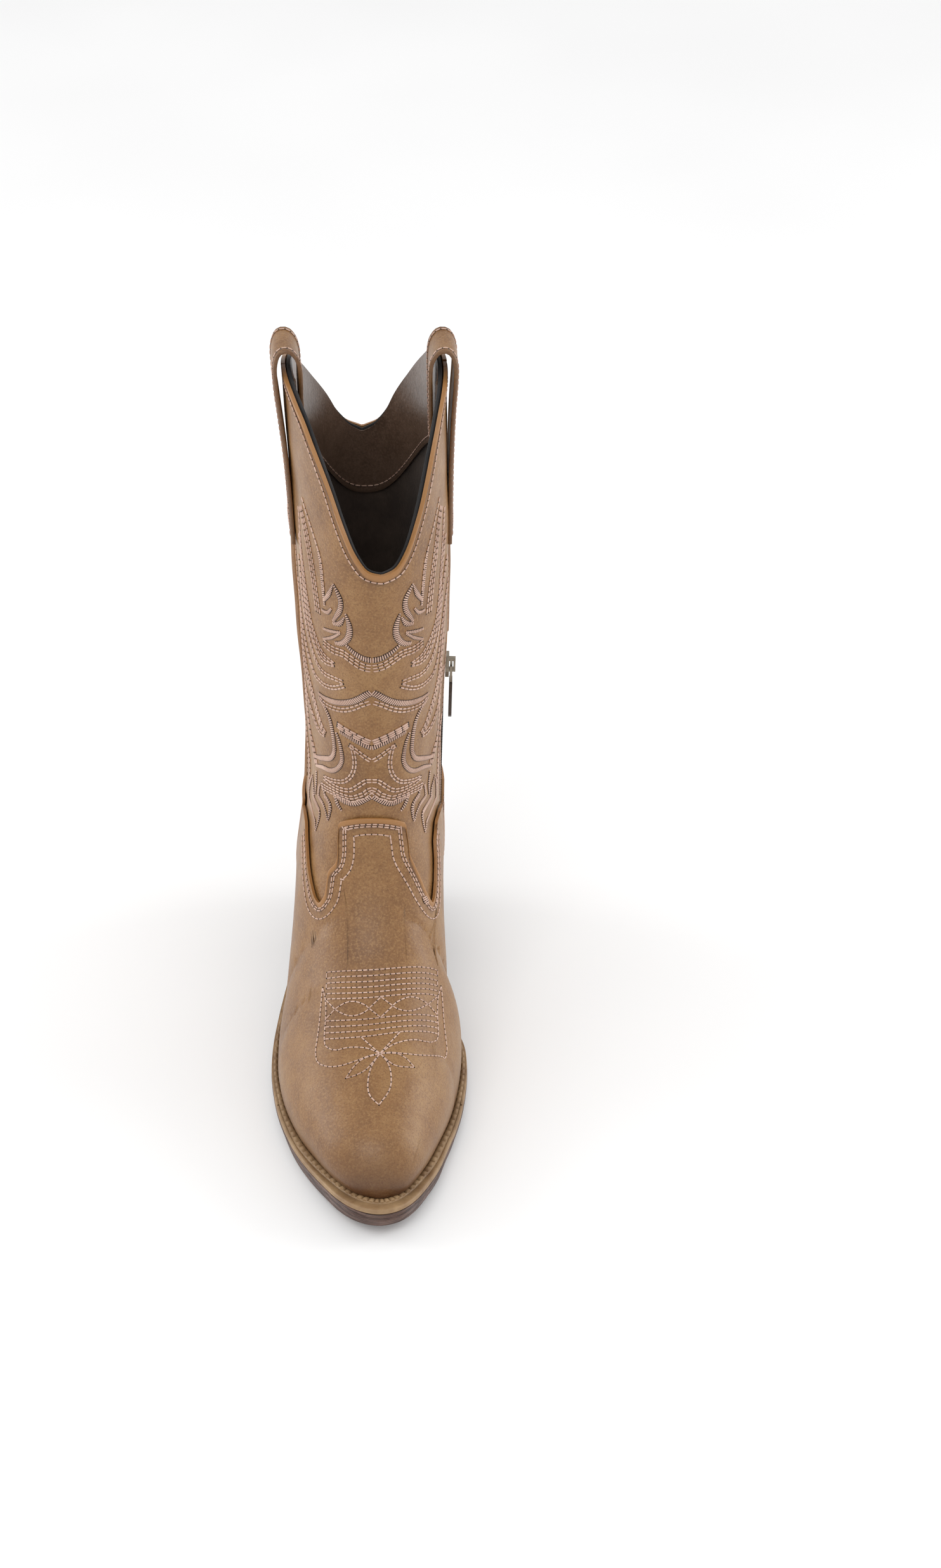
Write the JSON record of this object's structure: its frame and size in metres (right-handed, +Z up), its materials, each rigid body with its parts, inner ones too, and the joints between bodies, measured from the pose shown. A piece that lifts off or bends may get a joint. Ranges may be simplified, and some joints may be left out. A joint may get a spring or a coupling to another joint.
{
  "type": "western boot",
  "caption": "Women's western boot for the right foot: pointed welted sole, stacked heel, mid-calf shaft with dipped collar, pull straps and a zip on the inner side.",
  "frame": {"origin": "on the floor, under the middle of the boot's bounding box", "axes": "+Z up, toe towards -Y, heel towards +Y, inner (zip) side towards +X"},
  "size_m": [0.0987, 0.284, 0.3698],
  "materials": {
    "tan_leather": "satin, worn and burnished",
    "edge_leather": "satin",
    "facing_leather": "satin",
    "tab_leather": "satin",
    "lining": "matt",
    "tape": "woven",
    "board": "pressed fibre board",
    "stiffener": "matt",
    "cork": "granulated cork",
    "sole": "moulded, grained like stacked leather",
    "top_piece": "matt",
    "welt": "moulded stitches",
    "binding": "matt",
    "zip_plastic": "satin",
    "zip_metal": "dark plated",
    "steel": "plain"
  },
  "bodies": {
    "boot": {"outsole": "sole", "welt": "welt", "heel_lift_1": "sole", "heel_lift_2": "sole", "heel_lift_3": "sole", "heel_lift_4": "sole", "heel_top_piece": "top_piece", "forepart_filler": "cork", "heel_seat_filler": "cork", "shank": "steel", "insole_board": "board", "sock_liner": "lining", "vamp": "tan_leather", "vamp_lining": "lining", "toe_puff": "stiffener", "counter_cover": "tan_leather", "heel_counter": "stiffener", "heel_lining": "lining", "shaft_front": "tan_leather", "shaft_back": "tan_leather", "shaft_lining_front": "lining", "shaft_lining_back": "lining", "collar_facing": "facing_leather", "collar_binding": "binding", "side_piping_outer": "edge_leather", "side_piping_inner": "edge_leather", "pull_strap_outer": "tan_leather", "pull_strap_inner": "tan_leather", "zip_tape_front": "tape", "zip_tape_back": "tape", "zip_guard": "lining", "zip_teeth_front": "zip_plastic", "zip_teeth_back": "zip_plastic", "zip_top_stop": "zip_metal", "zip_bottom_stop": "zip_metal"},
    "slider": {"zip_slider": "zip_metal"},
    "pull": {"zip_pull_link": "zip_metal", "zip_pull_tab": "tab_leather"}
  },
  "joints": [
    {"name": "zip_travel", "type": "slide", "parent": "boot", "child": "slider", "axis": [-0.0277, 0, -0.9996], "range_m": [0, 0.107]},
    {"name": "pull_swing", "type": "hinge", "parent": "slider", "child": "pull", "pos_m": [0.04122, 0.074, 0.18689], "axis": [0, -1, 0], "range_deg": [0, 150]}
  ]
}
